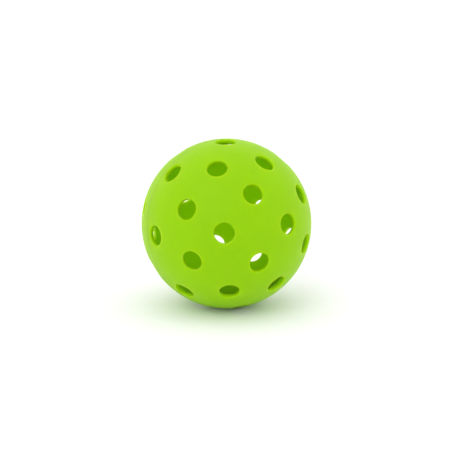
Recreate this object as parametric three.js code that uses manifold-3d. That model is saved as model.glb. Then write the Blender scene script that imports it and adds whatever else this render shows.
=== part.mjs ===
// Pickleball ball: two identical holed half shells, spin welded at their rims.
// Millimetres, +Z up, origin at the centre of the ball, which rests on a surface at z = -BALL_RADIUS.
// Each half is made about its own pole, +Z, with its rim on z = 0, and is then turned into place.

import * as THREE from "three";
import { mergeVertices } from "three/addons/utils/BufferGeometryUtils.js";
import Module from "manifold-3d";

// ---- Driving dimensions ----

const BALL_RADIUS = 37; // 74 mm ball, inside the sport's 72.9 to 75.4 mm
const WALL = 1.9;
const INNER_RADIUS = BALL_RADIUS - WALL;

const BORE_RADIUS = 4.25; // straight part of each air hole
const EDGE_BREAK = 0.3; // the outer edge of each hole is broken by this much

// Rings of holes in one half: angle from the pole, number of holes, and the turn of the first hole.
const RINGS = [
  { fromPole: 22.9, count: 4, turn: 0 },
  { fromPole: 49.9, count: 8, turn: 22.5 },
  { fromPole: 76.6, count: 8, turn: 0 },
];

// The weld: the rims stop SEAM_HALF_GAP short of the middle plane, and inside them a bevel
// makes room for the bead of melted plastic.
const SEAM_HALF_GAP = 0.05;
const SEAM_CHAMFER = 0.15;
const LAND_WIDTH = 0.8; // flat part of the rim, outside the bevel
const BEVEL_HEIGHT = 0.65;
const BEAD_CLEARANCE = 0.12;
const BEAD_BULGE = 0.45; // how far the bead stands into the ball
const BEAD_SHOULDER = 0.8; // the bead's height half way to its crest, as a share of its height at the wall

// How the ball lies: the welded halves' common axis leans from +Z by POLE_TILT towards POLE_AZIMUTH,
// after a turn of SPIN about itself. CLOCKING is the chance turn between the halves, left by the spin weld.
const POLE_AZIMUTH = -68.4;
const POLE_TILT = 82.4;
const SPIN = 3.1;
const CLOCKING = 26.2;

// ---- Fineness ----

const ROUND_SEGMENTS = 48; // around the ball's axis
const ARC_STEPS = 9; // from rim to pole
const HOLE_SEGMENTS = 16;
const MERGE_DISTANCE = 1e-4; // mesh points closer than this are one point

const rad = THREE.MathUtils.degToRad;

// ---- Solids ----

const wasm = await Module();
wasm.setup();

// A closed mesh as a manifold-3d solid.
function solidOf(geometry) {
  const bare = geometry.clone();
  bare.deleteAttribute("normal");
  bare.deleteAttribute("uv");
  const merged = mergeVertices(bare, MERGE_DISTANCE);
  return new wasm.Manifold(
    new wasm.Mesh({
      numProp: 3,
      vertProperties: merged.attributes.position.array,
      triVerts: new Uint32Array(merged.index.array),
    }),
  );
}

// A manifold-3d solid as geometry that a THREE.Mesh can show.
function geometryOf(solid) {
  const { vertProperties, triVerts } = solid.getMesh();
  const geometry = new THREE.BufferGeometry();
  geometry.setAttribute("position", new THREE.BufferAttribute(vertProperties, 3));
  geometry.setIndex(new THREE.BufferAttribute(triVerts, 1));
  geometry.computeVertexNormals();
  return geometry;
}

// A profile of [distance from the axis, height] points, turned about +Z.
function turned(profile, segments) {
  const points = profile.map(([across, up]) => new THREE.Vector2(across, up));
  return new THREE.LatheGeometry(points, segments).rotateX(Math.PI / 2);
}

// Points on a circle of the given radius about the centre, from one height to the pole or back.
function arcToPole(radius, startHeight) {
  const start = Math.asin(startHeight / radius);
  const points = [];
  for (let i = 0; i <= ARC_STEPS; i++) {
    const angle = start + ((Math.PI / 2 - start) * i) / ARC_STEPS;
    const across = i === ARC_STEPS ? 0 : radius * Math.cos(angle);
    points.push([across, radius * Math.sin(angle)]);
  }
  return points;
}

// ---- Sub-parts ----

// One hole's cutter, along +Z: a straight bore that flares by 45 degrees at the wall's outer face.
function holeCutter() {
  const rim = BORE_RADIUS + EDGE_BREAK;
  const rimHeight = Math.sqrt(BALL_RADIUS ** 2 - rim ** 2);
  const spare = 1; // how far the cutter runs past each face
  return turned(
    [
      [0, INNER_RADIUS - spare],
      [BORE_RADIUS, INNER_RADIUS - spare],
      [BORE_RADIUS, rimHeight - EDGE_BREAK],
      [rim + spare, rimHeight + spare],
      [0, rimHeight + spare],
    ],
    HOLE_SEGMENTS,
  );
}

// The half shell before its holes: a bowl with a flat weld land and a bevel inside it.
function plainHalf() {
  const outer = arcToPole(BALL_RADIUS, SEAM_HALF_GAP + SEAM_CHAMFER);
  const inner = arcToPole(INNER_RADIUS, BEVEL_HEIGHT).reverse();
  const landOuter = BALL_RADIUS - SEAM_CHAMFER;
  const landInner = landOuter - LAND_WIDTH;
  return turned(
    [[landInner, SEAM_HALF_GAP], [landOuter, SEAM_HALF_GAP], ...outer, ...inner, [landInner, SEAM_HALF_GAP]],
    ROUND_SEGMENTS,
  );
}

// Every hole's place in one half, as the turn that carries +Z to it.
function holeTurns() {
  return RINGS.flatMap(({ fromPole, count, turn }) =>
    Array.from({ length: count }, (_, i) => {
      const around = rad(turn + (360 * i) / count);
      return new THREE.Matrix4().makeRotationFromEuler(new THREE.Euler(0, rad(fromPole), around, "ZYX"));
    }),
  );
}

function halfShellGeometry() {
  let half = solidOf(plainHalf());
  const cutter = holeCutter();
  for (const turn of holeTurns()) {
    half = half.subtract(solidOf(cutter.clone().applyMatrix4(turn)));
  }
  return geometryOf(half);
}

// The weld bead: its outer edge lies between the two bevels, and its inner face bulges into the ball.
function weldBeadGeometry() {
  const tip = BALL_RADIUS - SEAM_CHAMFER - LAND_WIDTH - BEAD_CLEARANCE;
  const root = INNER_RADIUS - BEAD_CLEARANCE;
  const halfHeight = BEVEL_HEIGHT - BEAD_CLEARANCE;
  const crest = INNER_RADIUS - BEAD_BULGE;
  const shoulder = (root + crest) / 2;
  const ring = turned(
    [
      [tip, 0],
      [root, halfHeight],
      [shoulder, halfHeight * BEAD_SHOULDER],
      [crest, 0],
      [shoulder, -halfHeight * BEAD_SHOULDER],
      [root, -halfHeight],
      [tip, 0],
    ],
    ROUND_SEGMENTS,
  );
  return geometryOf(solidOf(ring));
}

// ---- Materials ----

const shellPlastic = new THREE.MeshStandardMaterial({ color: "#9bd52a", roughness: 0.5, metalness: 0 });
const beadPlastic = new THREE.MeshStandardMaterial({ color: "#8fca22", roughness: 0.4, metalness: 0 });

// ---- Assembly ----

function named(name, geometry, material) {
  const mesh = new THREE.Mesh(geometry, material);
  mesh.name = name;
  return mesh;
}

const halfGeometry = halfShellGeometry();

const frontHalf = named("front_half_shell", halfGeometry, shellPlastic);

// The rear half is the same moulding, turned over and clocked.
const rearHalf = named("rear_half_shell", halfGeometry, shellPlastic);
rearHalf.rotation.set(Math.PI, 0, rad(CLOCKING), "ZYX");

const weldBead = named("weld_bead", weldBeadGeometry(), beadPlastic);

// The welded halves about their common axis, +Z, and then the ball as it lies.
const welded = new THREE.Group();
welded.add(frontHalf, rearHalf, weldBead);
welded.rotation.z = rad(SPIN);

const ball = new THREE.Group();
ball.add(welded);
ball.rotation.set(0, rad(POLE_TILT), rad(POLE_AZIMUTH), "ZYX");

export default ball;
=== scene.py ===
# %% [markdown]
# # A pickleball ball
#
# The real ball is a thin hollow shell of polyethylene with forty round air holes. It is moulded as two
# identical half shells, which are then spun against each other until their rims melt and weld. This
# lesson builds it the same way: one half, the same half again turned over, and the thin ring of
# remelted plastic between them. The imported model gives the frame: where the ball is and how big.

# %% Load the frame
import math

import bmesh
import bpy
from mathutils import Euler, Matrix, Vector, noise


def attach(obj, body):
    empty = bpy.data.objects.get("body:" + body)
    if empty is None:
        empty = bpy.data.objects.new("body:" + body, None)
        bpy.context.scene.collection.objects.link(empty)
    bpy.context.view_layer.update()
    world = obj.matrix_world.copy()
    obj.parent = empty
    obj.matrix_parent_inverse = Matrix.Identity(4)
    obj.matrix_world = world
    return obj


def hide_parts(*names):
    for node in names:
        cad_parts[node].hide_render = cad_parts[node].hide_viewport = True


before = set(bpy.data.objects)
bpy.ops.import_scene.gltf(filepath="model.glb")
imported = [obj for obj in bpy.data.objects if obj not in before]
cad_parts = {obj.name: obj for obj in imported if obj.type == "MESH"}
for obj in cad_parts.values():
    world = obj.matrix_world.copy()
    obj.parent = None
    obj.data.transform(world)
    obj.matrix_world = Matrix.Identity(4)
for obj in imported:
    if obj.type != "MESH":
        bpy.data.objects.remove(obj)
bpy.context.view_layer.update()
print("the frame holds", ", ".join(sorted(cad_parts)))

# %% [markdown]
# ## Driving dimensions
#
# Blender works in metres, so the sizes are written in millimetres and multiplied once. Only the pattern
# of one half is written down: three rings of holes about that half's own pole, which is +Z while it is
# being made, with its rim on z = 0. Everything else about the pattern follows from the rings.

# %% Sizes of the ball
MM = 0.001
BALL_RADIUS = 37 * MM
WALL = 1.9 * MM
INNER_RADIUS = BALL_RADIUS - WALL
BORE_RADIUS = 4.25 * MM
OUTER_ROUND = 0.6 * MM  # the lip of a hole on the outside
INNER_ROUND = 0.3 * MM  # and on the inside

# Angle from the pole, number of holes, and turn of the first hole, in degrees.
RINGS = ((22.9, 4, 0), (49.9, 8, 22.5), (76.6, 8, 0))

# How the ball lies: the halves' common axis leans from +Z, and the rear half is turned about that
# axis by whatever angle the spin weld stopped at.
POLE_AZIMUTH = math.radians(-68.4)
POLE_TILT = math.radians(82.4)
SPIN = math.radians(3.1)
CLOCKING = math.radians(26.2)


POLE = Vector((0, 0, 1))  # of a half while it is being made


def hole_directions():
    """A unit vector from the ball's centre to each hole of one half."""
    directions = []
    for from_pole, count, turn in RINGS:
        lean = Matrix.Rotation(math.radians(from_pole), 3, "Y")
        for i in range(count):
            around = Matrix.Rotation(math.radians(turn + 360 * i / count), 3, "Z")
            directions.append(around @ lean @ POLE)
    return directions


HOLES = hole_directions()
print(len(HOLES), "holes in each half")

# %% [markdown]
# ## One cell for each hole
#
# A sphere with twenty round holes could be cut with booleans, but those leave slivers round each hole,
# and on a smooth ball every sliver shows as a dent in the highlight. Instead the sphere is divided into
# one cell per hole, like the panels of a football, and each cell becomes a ring of clean four-sided
# faces round a true circle.
#
# The cells come from a convex hull over the hole centres. The holes are mirrored in the weld plane
# first, so that a line of cell edges runs exactly along the rim. Splitting each hull edge at its middle
# and poking each hull face gives the cells' corners, and dissolving the spokes and the hole centres
# leaves one face around each hole.

# %% Divide the sphere into cells
def is_hole_centre(point):
    """Only the hole centres lie on the unit sphere; points on hull edges and faces lie inside it."""
    return point.co.length > 0.9999


def cells_of_one_half():
    bm = bmesh.new()
    for direction in HOLES:
        bm.verts.new(direction)
        bm.verts.new((direction.x, direction.y, -direction.z))
    bmesh.ops.convex_hull(bm, input=bm.verts, use_existing_faces=False)
    bmesh.ops.dissolve_limit(bm, angle_limit=math.radians(1), verts=bm.verts, edges=bm.edges)

    bmesh.ops.bisect_edges(bm, edges=bm.edges, cuts=1)
    face_centres = set(bmesh.ops.poke(bm, faces=bm.faces)["verts"])
    spokes = [
        edge
        for edge in bm.edges
        if any(v in face_centres for v in edge.verts) and any(is_hole_centre(v) for v in edge.verts)
    ]
    bmesh.ops.dissolve_edges(bm, edges=spokes, use_verts=False)
    bmesh.ops.dissolve_verts(bm, verts=[v for v in bm.verts if is_hole_centre(v)])

    other_half = [face for face in bm.faces if face.calc_center_median().z < 0]
    bmesh.ops.delete(bm, geom=other_half, context="FACES")
    return bm


cells = cells_of_one_half()
print("one half has", len(cells.faces), "cells with", len(cells.verts), "corners")
cells.free()

# %% [markdown]
# ## A skin of the wall
#
# The wall has an outer and an inner skin, and both are made alike: the cell edges are cut finer, each
# cell is inset, the inset loop is pulled onto the hole's circle, and the face inside it is removed.
# Cutting the spokes between the circle and the cell edge then gives rings of faces, and every point is
# pushed out to the sphere. Because both skins have the same layout, the bores between them are clean.

# %% Make a skin
SIDE_CUTS = 8  # cuts in each cell edge, which set how round the holes are
RING_CUTS = 7  # rings of faces round a hole
INSET = 0.01  # on the unit sphere: a small start, since the loop is then pulled onto its circle


def nearest_hole(point):
    return max(HOLES, key=lambda direction: direction.dot(point))


def on_hole_circle(point, direction, radius):
    """The point of a hole's circle, on the sphere of that radius, that is nearest in turn to a point."""
    sideways = point - direction * point.dot(direction)
    depth = math.sqrt(radius**2 - BORE_RADIUS**2)
    return direction * depth + sideways.normalized() * BORE_RADIUS


def skin(radius, rim_height):
    """A half sphere of that radius with its holes, and its rim at rim_height above the weld plane."""
    bm = cells_of_one_half()
    bmesh.ops.bisect_edges(bm, edges=bm.edges, cuts=SIDE_CUTS)
    for v in bm.verts:
        v.co.normalize()
    bmesh.ops.inset_individual(bm, faces=bm.faces, thickness=INSET)

    middles = [face for face in bm.faces if len(face.verts) > 4]
    circle_points = set()
    for face in middles:
        direction = nearest_hole(face.calc_center_median())
        for v in face.verts:
            v.co = on_hole_circle(v.co, direction, radius)
            circle_points.add(v)
    spokes = [edge for edge in bm.edges if sum(v in circle_points for v in edge.verts) == 1]
    bmesh.ops.delete(bm, geom=middles, context="FACES_ONLY")
    for v in bm.verts:
        v.co = v.co.normalized() * radius
    bmesh.ops.subdivide_edges(bm, edges=spokes, cuts=RING_CUTS, use_grid_fill=True)
    for v in bm.verts:
        v.co = v.co.normalized() * radius

    rim_across = math.sqrt(radius**2 - rim_height**2)
    for v in bm.verts:
        if abs(v.co.z) < radius * 1e-4:
            around = Vector((v.co.x, v.co.y, 0)).normalized()
            v.co = around * rim_across + Vector((0, 0, rim_height))
    return bm


trial = skin(BALL_RADIUS, 0)
print("a skin has", len(trial.faces), "faces")
trial.free()

# %% [markdown]
# ## The half shell
#
# The two skins are joined by a bore at each hole and by the rim. On the real half the rim is a flat land
# that takes the weld, with a bevel inside it that gives the melted plastic somewhere to go. The rim is
# made from the outer skin's edge by extruding it twice, and bridging it to the inner skin makes the
# bevel. Last, both edges of every bore are rounded, the outer one more than the inner one, because a
# mould leaves no sharp edge there.

# %% Make a half shell
SEAM_HALF_GAP = 0.05 * MM
SEAM_ROUND = 0.06 * MM  # the rim's outer corner, polished almost flush
LAND_WIDTH = 0.85 * MM
BEVEL_HEIGHT = 0.65 * MM
LIP_SEGMENTS = 4
LOOP_REACH = 1.4  # how far round a hole, in bore radii, its two open edges are looked for
SHARPEST_SMOOTH = math.radians(45)  # a bore meets a skin at more than this


def add_skin(bm, other, inward):
    """Adds a skin to a bmesh, turned to face inwards if asked."""
    if inward:
        bmesh.ops.reverse_faces(other, faces=other.faces)
    scratch = bpy.data.meshes.new("scratch")
    other.to_mesh(scratch)
    other.free()
    bm.from_mesh(scratch)
    bpy.data.meshes.remove(scratch)


def open_edges(bm, test):
    return [e for e in bm.edges if e.is_boundary and test((e.verts[0].co + e.verts[1].co) / 2)]


def carry_rim(bm, edges, across, height):
    """Extrudes a ring of edges to the circle of that radius and height about +Z."""
    made = bmesh.ops.extrude_edge_only(bm, edges=edges)["geom"]
    for v in made:
        if isinstance(v, bmesh.types.BMVert):
            around = Vector((v.co.x, v.co.y, 0)).normalized()
            v.co = around * across + Vector((0, 0, height))
    return [item for item in made if isinstance(item, bmesh.types.BMEdge)]


def half_shell():
    bm = bmesh.new()
    add_skin(bm, skin(BALL_RADIUS, SEAM_HALF_GAP + SEAM_ROUND), inward=False)
    add_skin(bm, skin(INNER_RADIUS, BEVEL_HEIGHT), inward=True)

    hole_reach = math.cos(LOOP_REACH * BORE_RADIUS / INNER_RADIUS)
    for direction in HOLES:
        loops = open_edges(bm, lambda p: p.normalized().dot(direction) > hole_reach)
        bmesh.ops.bridge_loops(bm, edges=loops)

    middle_radius = (BALL_RADIUS + INNER_RADIUS) / 2
    outer_rim = open_edges(bm, lambda p: p.length > middle_radius)
    inner_rim = open_edges(bm, lambda p: p.length < middle_radius)
    land_outside = BALL_RADIUS - SEAM_ROUND
    rim = carry_rim(bm, outer_rim, land_outside, SEAM_HALF_GAP)
    rim = carry_rim(bm, rim, land_outside - LAND_WIDTH, SEAM_HALF_GAP)
    bmesh.ops.bridge_loops(bm, edges=rim + inner_rim)

    circles = [e for e in bm.edges if is_bore_edge(e)]
    lips = {
        OUTER_ROUND: [e for e in circles if e.verts[0].co.length > middle_radius],
        INNER_ROUND: [e for e in circles if e.verts[0].co.length < middle_radius],
    }
    for offset, edges in lips.items():
        bmesh.ops.bevel(
            bm,
            geom=edges,
            offset=offset,
            offset_type="OFFSET",
            segments=LIP_SEGMENTS,
            profile=0.5,
            affect="EDGES",
            material=-1,
        )
    bmesh.ops.recalc_face_normals(bm, faces=bm.faces)
    return bm


def is_bore_edge(edge):
    """Whether an edge is part of the circle where a bore meets one of the skins."""
    for v in edge.verts:
        direction = nearest_hole(v.co)
        sideways = v.co - direction * v.co.dot(direction)
        if abs(sideways.length - BORE_RADIUS) > BORE_RADIUS * 1e-3:
            return False
    return edge.calc_face_angle(0) > SHARPEST_SMOOTH


half = half_shell()
print("a half shell has", len(half.faces), "faces, volume", round(half.calc_volume() * 1e6, 2), "cm3")

# %% [markdown]
# ## Putting the halves together
#
# Both halves come out of one mould, so the rear half is a copy of the front one turned over about +X
# and clocked about the axis. One more turn lays the welded pair down as the ball lies at rest. A piece
# keeps its object at the origin, and its place is in its mesh, so these turns are put into the points.

# %% Place the two halves
LAY_DOWN = (
    Matrix.Rotation(POLE_AZIMUTH, 4, "Z")
    @ Matrix.Rotation(POLE_TILT, 4, "Y")
    @ Matrix.Rotation(SPIN, 4, "Z")
)
TURN_OVER = Matrix.Rotation(CLOCKING, 4, "Z") @ Matrix.Rotation(math.pi, 4, "X")


def piece_from(bm, name, turn):
    """A smooth-shaded object from a copy of a bmesh, with a turn put into its points."""
    mesh = bpy.data.meshes.new(name)
    bm.to_mesh(mesh)
    mesh.transform(turn)
    mesh.shade_smooth()
    piece = bpy.data.objects.new(name, mesh)
    bpy.context.scene.collection.objects.link(piece)
    return piece


front_half = piece_from(half, "front_half", LAY_DOWN)
rear_half = piece_from(half, "rear_half", LAY_DOWN @ TURN_OVER)
half.free()
print("front and rear halves placed")

# %% [markdown]
# ## The weld bead
#
# Spinning one half against the other melts both rims. The plastic closes the joint as a web as thin as
# paper, fills the bevels, and rolls over into the ball as a bead. Outside it is polished off, so only
# a hairline of the web shows. Inside nobody trims it, and it can be seen through the holes. Its section
# is drawn once and spun about the axis. A little noise along the ring then keeps it from looking turned
# on a lathe: melted plastic runs a bit further at one place than at the next.

# %% Make the weld bead
WEB_HALF = 0.04 * MM
BEAD_HALF = 0.53 * MM
BEAD_CLEARANCE = 0.1 * MM
BEAD_BULGE = 0.4 * MM
BEAD_ARC_STEPS = 10
BEAD_STEPS = 288  # sections round the ring
BEAD_RIPPLE = 0.05 * MM
RIPPLE_SIZE = 4 * MM


def bead_section():
    """Points of the section as (distance from the axis, height), from the web round the roll and back."""
    land_inside = BALL_RADIUS - SEAM_ROUND - LAND_WIDTH
    root = INNER_RADIUS - BEAD_CLEARANCE
    upper = [
        (BALL_RADIUS - SEAM_ROUND / 2, WEB_HALF),
        (land_inside - BEAD_CLEARANCE, WEB_HALF),
        (root, BEAD_HALF),
    ]
    roll = []
    for i in range(1, BEAD_ARC_STEPS):
        angle = math.pi * i / BEAD_ARC_STEPS
        roll.append((root - BEAD_BULGE * math.sin(angle), BEAD_HALF * math.cos(angle)))
    lower = [(across, -height) for across, height in reversed(upper)]
    return upper + roll + lower


def weld_bead():
    bm = bmesh.new()
    points = [bm.verts.new((across, 0, height)) for across, height in bead_section()]
    outline = [bm.edges.new((a, b)) for a, b in zip(points, points[1:] + points[:1])]
    bmesh.ops.spin(
        bm,
        geom=points + outline,
        cent=(0, 0, 0),
        axis=(0, 0, 1),
        angle=2 * math.pi,
        steps=BEAD_STEPS,
        use_merge=True,
        use_duplicate=False,
    )
    bmesh.ops.remove_doubles(bm, verts=bm.verts, dist=0.001 * MM)
    for v in bm.verts:
        across = math.hypot(v.co.x, v.co.y)
        inside = max(0, INNER_RADIUS - BEAD_CLEARANCE - across) / BEAD_BULGE
        ripple = inside * BEAD_RIPPLE * noise.noise(v.co / RIPPLE_SIZE)
        v.co += Vector((v.co.x, v.co.y, 0)).normalized() * ripple
    bmesh.ops.recalc_face_normals(bm, faces=bm.faces)
    return bm


bead = weld_bead()
print("the bead has", len(bead.faces), "faces, volume", round(bead.calc_volume() * 1e9, 1), "mm3")
bead_ring = piece_from(bead, "weld_bead_ring", LAY_DOWN)
bead.free()

# %% [markdown]
# ## Effects that the finishes share
#
# Three effects are used by both plastics, so each is a shader node group. The mould's cavity was
# polished and then lightly blasted, which leaves a fine satin grain over a faint unevenness like orange
# peel: that is a height. The pigment is never mixed quite evenly, and melted plastic carries it along
# in soft swirls: that is a colour. Handling leaves faint duller and shinier places: that is a
# roughness. All three read Object coordinates in metres, so they cross from one half to the other
# without a jump.

# %% Node helpers
def new_group(name, inputs, outputs):
    group = bpy.data.node_groups.new(name, "ShaderNodeTree")
    for socket, kind, value in inputs:
        made = group.interface.new_socket(socket, in_out="INPUT", socket_type=kind)
        made.default_value = value
    for socket, kind in outputs:
        group.interface.new_socket(socket, in_out="OUTPUT", socket_type=kind)
    return group, group.nodes.new("NodeGroupInput"), group.nodes.new("NodeGroupOutput")


def math_node(tree, operation, first, second):
    """A Math node. Each operand is a socket or a number."""
    node = tree.nodes.new("ShaderNodeMath")
    node.operation = operation
    for place, operand in enumerate((first, second)):
        if isinstance(operand, bpy.types.NodeSocket):
            tree.links.new(operand, node.inputs[place])
        else:
            node.inputs[place].default_value = operand
    return node.outputs[0]


def noise_node(tree, coordinates, per_metre, detail, distortion=0.0):
    """A noise texture's value. per_metre is a socket or a number."""
    node = tree.nodes.new("ShaderNodeTexNoise")
    tree.links.new(coordinates, node.inputs["Vector"])
    if isinstance(per_metre, bpy.types.NodeSocket):
        tree.links.new(per_metre, node.inputs["Scale"])
    else:
        node.inputs["Scale"].default_value = per_metre
    node.inputs["Detail"].default_value = detail
    node.inputs["Distortion"].default_value = distortion
    return node.outputs["Fac"]


def in_mm(tree, size):
    """Turns a feature size in millimetres into a noise scale for coordinates in metres."""
    return math_node(tree, "DIVIDE", 1000.0, size)


# %% Mould grain: a height in millimetres
def make_mould_grain():
    group, given, result = new_group(
        "mould_grain",
        inputs=[
            ("Grain Size", "NodeSocketFloat", 0.25),
            ("Grain Height", "NodeSocketFloat", 0.004),
            ("Peel Size", "NodeSocketFloat", 2.2),
            ("Peel Height", "NodeSocketFloat", 0.012),
        ],
        outputs=[("Height", "NodeSocketFloat")],
    )
    place = group.nodes.new("ShaderNodeTexCoord").outputs["Object"]
    grain = noise_node(group, place, in_mm(group, given.outputs["Grain Size"]), 2.0)
    peel = noise_node(group, place, in_mm(group, given.outputs["Peel Size"]), 1.0)
    grain_height = math_node(group, "MULTIPLY", grain, given.outputs["Grain Height"])
    peel_height = math_node(group, "MULTIPLY", peel, given.outputs["Peel Height"])
    group.links.new(math_node(group, "ADD", grain_height, peel_height), result.inputs["Height"])
    return group


MOULD_GRAIN = make_mould_grain()
print("made", MOULD_GRAIN.name)


# %% Pigment swirl: a colour
def make_pigment_swirl():
    group, given, result = new_group(
        "pigment_swirl",
        inputs=[
            ("Colour", "NodeSocketColor", (0.3, 0.6, 0.02, 1)),
            ("Thin Colour", "NodeSocketColor", (0.35, 0.65, 0.03, 1)),
            ("Swirl Size", "NodeSocketFloat", 14.0),
            ("Speck Size", "NodeSocketFloat", 0.5),
            ("Speck Share", "NodeSocketFloat", 0.15),
        ],
        outputs=[("Colour", "NodeSocketColor")],
    )
    place = group.nodes.new("ShaderNodeTexCoord").outputs["Object"]
    swirl = noise_node(group, place, in_mm(group, given.outputs["Swirl Size"]), 3.0, distortion=1.2)
    speck = noise_node(group, place, in_mm(group, given.outputs["Speck Size"]), 0.0)
    speck = math_node(group, "MULTIPLY", speck, given.outputs["Speck Share"])
    mix = group.nodes.new("ShaderNodeMix")
    mix.data_type = "RGBA"
    group.links.new(math_node(group, "ADD", swirl, speck), mix.inputs["Factor"])
    group.links.new(given.outputs["Colour"], mix.inputs["A"])
    group.links.new(given.outputs["Thin Colour"], mix.inputs["B"])
    group.links.new(mix.outputs["Result"], result.inputs["Colour"])
    return group


PIGMENT_SWIRL = make_pigment_swirl()
print("made", PIGMENT_SWIRL.name)


# %% Handling: a roughness
def make_handling():
    group, given, result = new_group(
        "handling",
        inputs=[
            ("Roughness", "NodeSocketFloat", 0.45),
            ("Change", "NodeSocketFloat", 0.08),
            ("Patch Size", "NodeSocketFloat", 9.0),
        ],
        outputs=[("Roughness", "NodeSocketFloat")],
    )
    place = group.nodes.new("ShaderNodeTexCoord").outputs["Object"]
    patch = noise_node(group, place, in_mm(group, given.outputs["Patch Size"]), 4.0)
    centred = math_node(group, "SUBTRACT", patch, 0.5)
    change = math_node(group, "MULTIPLY", centred, given.outputs["Change"])
    group.links.new(math_node(group, "ADD", given.outputs["Roughness"], change), result.inputs["Roughness"])
    return group


HANDLING = make_handling()
print("made", HANDLING.name)

# %% [markdown]
# ## The plastics
#
# Polyethylene isn't opaque. Light goes several millimetres into it, right through the wall, and takes on
# the pigment's colour, which is why the walls of the holes glow and the inside of the ball stays green.
# That is subsurface scattering, with green carried furthest, then red, and blue hardly at all. The
# surface over it is a satin gloss.
#
# The bead set against air and not against steel, so it has no grain and is a little shinier. The real
# one has the same pigment. Here it is a loose ring in the shade, and with scattering it turned nearly
# black, so it has none and a paler colour instead: painted light that stands in for the light the
# scattering would carry into it. That is a stand-in, chosen for these lamps.

# %% Make the plastics
POLYETHYLENE_IOR = 1.51
SATIN_GLOSS = 0.1
SCATTER_LENGTH = 9.0 * MM
SCATTER_BY_COLOUR = (0.87, 1.0, 0.1)  # shares of that length for red, green and blue


def plastic(name, colour, thin_colour, scattering, roughness, grain_height, peel_height):
    material = bpy.data.materials.new(name)
    material.use_nodes = True
    tree = material.node_tree
    shader = tree.nodes["Principled BSDF"]
    shader.inputs["IOR"].default_value = POLYETHYLENE_IOR
    shader.inputs["Specular IOR Level"].default_value = SATIN_GLOSS
    shader.inputs["Subsurface Weight"].default_value = scattering
    shader.inputs["Subsurface Radius"].default_value = SCATTER_BY_COLOUR
    shader.inputs["Subsurface Scale"].default_value = SCATTER_LENGTH

    swirl = tree.nodes.new("ShaderNodeGroup")
    swirl.node_tree = PIGMENT_SWIRL
    swirl.inputs["Colour"].default_value = colour
    swirl.inputs["Thin Colour"].default_value = thin_colour
    tree.links.new(swirl.outputs["Colour"], shader.inputs["Base Color"])

    touch = tree.nodes.new("ShaderNodeGroup")
    touch.node_tree = HANDLING
    touch.inputs["Roughness"].default_value = roughness
    tree.links.new(touch.outputs["Roughness"], shader.inputs["Roughness"])

    grain = tree.nodes.new("ShaderNodeGroup")
    grain.node_tree = MOULD_GRAIN
    grain.inputs["Grain Height"].default_value = grain_height
    grain.inputs["Peel Height"].default_value = peel_height
    bump = tree.nodes.new("ShaderNodeBump")
    bump.inputs["Strength"].default_value = 1.0
    bump.inputs["Distance"].default_value = MM
    tree.links.new(grain.outputs["Height"], bump.inputs["Height"])
    tree.links.new(bump.outputs["Normal"], shader.inputs["Normal"])
    return material


SHELL_PLASTIC = plastic(
    "satin_lime_plastic",
    colour=(0.245, 0.51, 0.0006, 1),
    thin_colour=(0.275, 0.55, 0.0009, 1),
    scattering=1.0,
    roughness=0.45,
    grain_height=0.004,
    peel_height=0.012,
)
BEAD_PLASTIC = plastic(
    "remelted_lime_plastic_painted_light",
    # Paler than the shell: painted light, standing in for the light scattering would bring into the bead in
    # its shade.
    colour=(0.6, 0.93, 0.004, 1),
    thin_colour=(0.65, 0.96, 0.006, 1),
    scattering=0.0,
    roughness=0.33,
    grain_height=0.0005,
    peel_height=0.03,
)
print("made", SHELL_PLASTIC.name, "and", BEAD_PLASTIC.name)

# %% [markdown]
# On the real ball the weld is solid plastic, and light crosses it as it crosses the wall. Here the rims
# are two surfaces, which would catch that light and show as a dark line. So close to the weld plane
# the scattering fades out and a paler colour fades in: painted light that stands in for the scattered
# light under these lamps. Under other lamps the weld may show as a faint line.

# %% Hide the weld line with painted light
WELD_FADE_START = 0.4 * MM
WELD_FADE_END = 1.6 * MM
# Painted light: a paler colour that stands in for the scattering that fades out near the weld.
WELD_COLOUR = (0.29, 0.59, 0.01, 1)


def fade_at_weld(material):
    tree = material.node_tree
    shader = tree.nodes["Principled BSDF"]
    place = tree.nodes.new("ShaderNodeTexCoord").outputs["Object"]
    along = tree.nodes.new("ShaderNodeVectorMath")
    along.operation = "DOT_PRODUCT"
    along.inputs[1].default_value = LAY_DOWN.to_3x3() @ POLE
    tree.links.new(place, along.inputs[0])
    away = tree.nodes.new("ShaderNodeMapRange")
    away.interpolation_type = "SMOOTHSTEP"
    away.inputs["From Min"].default_value = WELD_FADE_START
    away.inputs["From Max"].default_value = WELD_FADE_END
    tree.links.new(math_node(tree, "ABSOLUTE", along.outputs["Value"], 0.0), away.inputs["Value"])
    tree.links.new(away.outputs["Result"], shader.inputs["Subsurface Weight"])

    # Near the weld the moulded colour gives way to the painted-light colour that stands in for the
    # scattering.
    blend = tree.nodes.new("ShaderNodeMix")
    blend.data_type = "RGBA"
    blend.inputs["A"].default_value = WELD_COLOUR
    moulded = shader.inputs["Base Color"].links[0].from_socket
    tree.links.new(away.outputs["Result"], blend.inputs["Factor"])
    tree.links.new(moulded, blend.inputs["B"])
    tree.links.new(blend.outputs["Result"], shader.inputs["Base Color"])


fade_at_weld(SHELL_PLASTIC)
print("scattering fades out from", WELD_FADE_END * 1000, "mm to", WELD_FADE_START * 1000, "mm from the weld")

# %% Give the pieces their finish and tie them to the frame
for piece, node, slot, material in (
    (front_half, "front_half_shell", "shell_plastic", SHELL_PLASTIC),
    (rear_half, "rear_half_shell", "shell_plastic", SHELL_PLASTIC),
    (bead_ring, "weld_bead", "weld_bead_plastic", BEAD_PLASTIC),
):
    piece.data.materials.append(material)
    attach(piece, "root")
    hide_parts(node)
    print(piece.name, "stands for", node)

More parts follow.
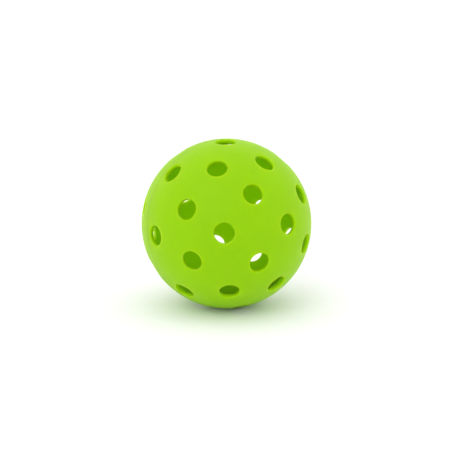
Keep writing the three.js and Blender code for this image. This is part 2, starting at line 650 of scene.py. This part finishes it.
# %% [markdown]
# ## The stage
#
# The ball lies on a plain white sheet that runs out of sight, under a white sky, as in a packshot tent.
# The sheet is lit to just past white, so only the shadow near the ball shows on it. Most of the light
# is the sky's, and three weak lamps give it a direction. The camera is a long lens a little over half
# a metre away and 12 degrees up.

# %% Floor and sky
FLOOR_HEIGHT = -BALL_RADIUS
FLOOR_HALF = 60.0  # far enough to look endless
PAPER_WHITE = (0.93, 0.93, 0.93, 1)
PAPER_ROUGHNESS = 0.6
SKY_STRENGTH = 1.08


def make_floor():
    bm = bmesh.new()
    bmesh.ops.create_grid(bm, x_segments=1, y_segments=1, size=FLOOR_HALF)
    bmesh.ops.translate(bm, verts=bm.verts, vec=(0, 0, FLOOR_HEIGHT))
    floor = piece_from(bm, "floor", Matrix.Identity(4))
    bm.free()
    paper = bpy.data.materials.new("white_paper")
    paper.use_nodes = True
    shader = paper.node_tree.nodes["Principled BSDF"]
    shader.inputs["Base Color"].default_value = PAPER_WHITE
    shader.inputs["Roughness"].default_value = PAPER_ROUGHNESS
    shader.inputs["Specular IOR Level"].default_value = 0.0
    floor.data.materials.append(paper)
    return floor


make_floor()
sky = bpy.data.worlds.new("white_sky")
sky.use_nodes = True
sky.node_tree.nodes["Background"].inputs["Color"].default_value = (1, 1, 1, 1)
sky.node_tree.nodes["Background"].inputs["Strength"].default_value = SKY_STRENGTH
bpy.context.scene.world = sky
bpy.context.scene.view_settings.view_transform = "Standard"
print("floor at", FLOOR_HEIGHT, "m")


# %% Lamps
def soft_lamp(name, azimuth, elevation, spread, strength):
    """A sun lamp with a wide disc, which lights like a softbox without fading across the sheet.

    The azimuth is the side it shines from: 0 is the camera's side and 90 the right."""
    light = bpy.data.lights.new(name, "SUN")
    light.angle = math.radians(spread)
    light.energy = strength
    lamp = bpy.data.objects.new(name, light)
    lamp.rotation_euler = Euler((math.radians(90 - elevation), 0, math.radians(azimuth)))
    bpy.context.scene.collection.objects.link(lamp)
    return lamp


soft_lamp("overhead_softbox", azimuth=-30, elevation=70, spread=60, strength=0.3)
soft_lamp("right_softbox", azimuth=80, elevation=30, spread=30, strength=0.1)
soft_lamp("left_softbox", azimuth=-25, elevation=32, spread=40, strength=0.5)
print("three lamps")

# %% Camera
CAMERA_DISTANCE = 14.96 * BALL_RADIUS
CAMERA_ELEVATION = math.radians(12)

lens = bpy.data.cameras.new("camera")
lens.lens = 99.3
lens.sensor_width = 36
lens.shift_x = 0.0076
lens.shift_y = -0.0144
lens.clip_start = 0.01
lens.clip_end = 200
camera = bpy.data.objects.new("camera", lens)
camera.location = CAMERA_DISTANCE * Vector((0, -math.cos(CAMERA_ELEVATION), math.sin(CAMERA_ELEVATION)))
camera.rotation_euler = Euler((math.pi / 2 - CAMERA_ELEVATION, 0, 0))
bpy.context.scene.collection.objects.link(camera)
bpy.context.scene.camera = camera
print("camera at", [round(x, 3) for x in camera.location])
